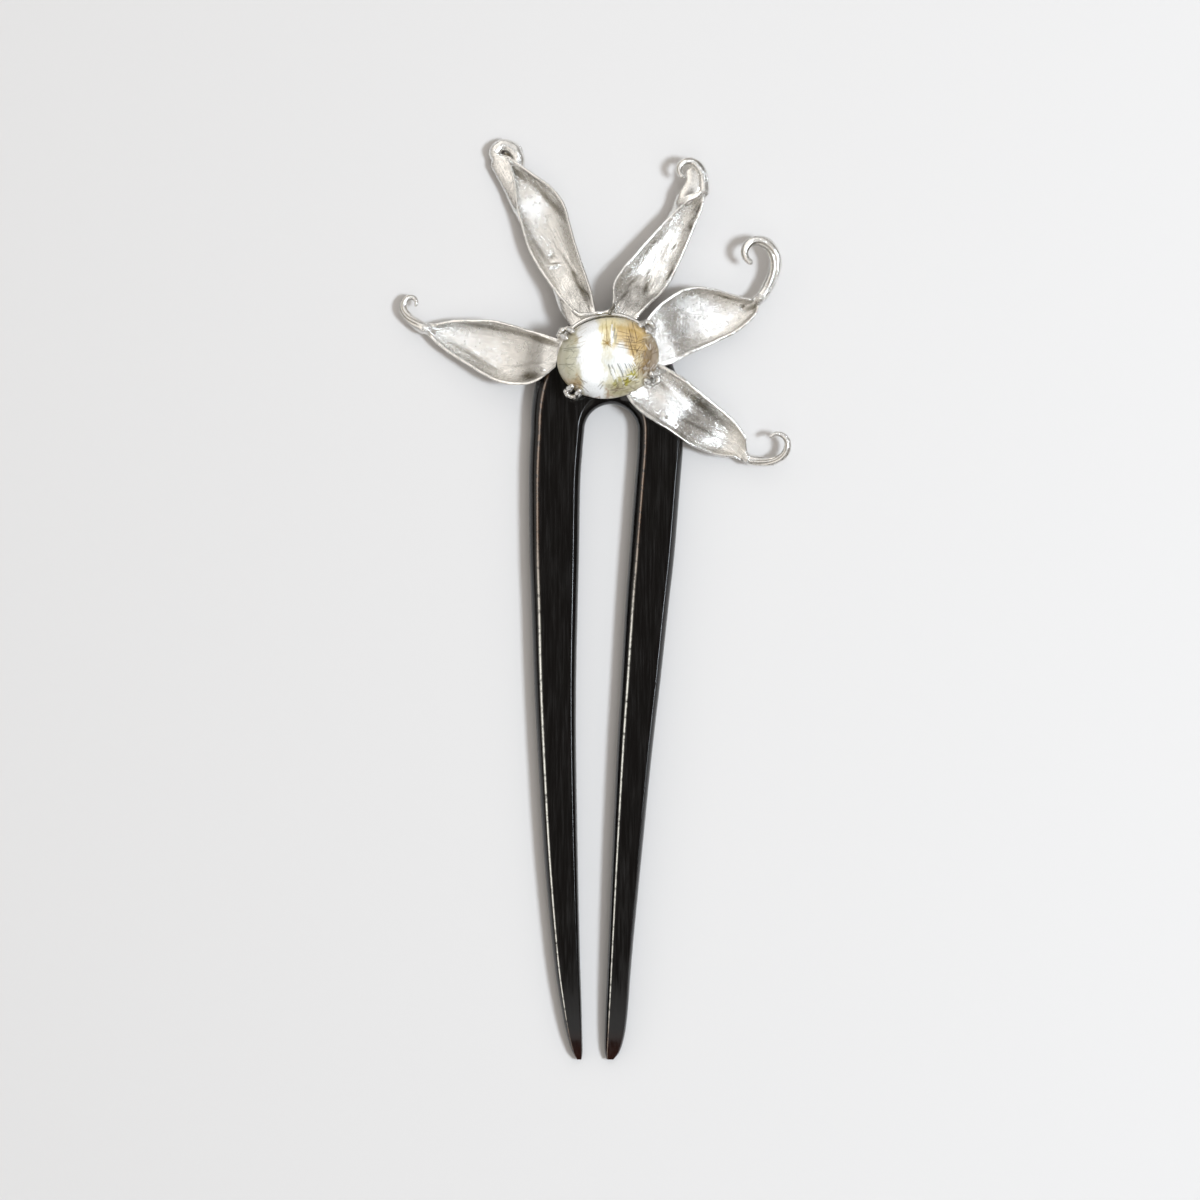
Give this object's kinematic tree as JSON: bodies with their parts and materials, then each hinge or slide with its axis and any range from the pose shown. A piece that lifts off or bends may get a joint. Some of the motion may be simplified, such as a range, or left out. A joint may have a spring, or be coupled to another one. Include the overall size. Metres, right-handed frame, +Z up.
{
  "type": "french hair pin",
  "caption": "French hair pin: a black pronged fork with a spray of open silver seed pods and curled tendrils round an oval golden cabochon held by claws.",
  "frame": {"origin": "middle of the underside of the bounding box, on the surface that the pin lies on", "axes": "+Y from the prongs' tips towards the flower, +Z up from the surface it lies on, +X to the right seen from above"},
  "size_m": [0.062, 0.147, 0.0126],
  "materials": {
    "horn": "polished black horn",
    "silver": "polished cast silver",
    "quartz": "polished rutilated quartz"
  },
  "bodies": {
    "root": {"fork": "horn", "peg": "silver", "silver_spray": "silver", "stone": "quartz"}
  },
  "joints": []
}
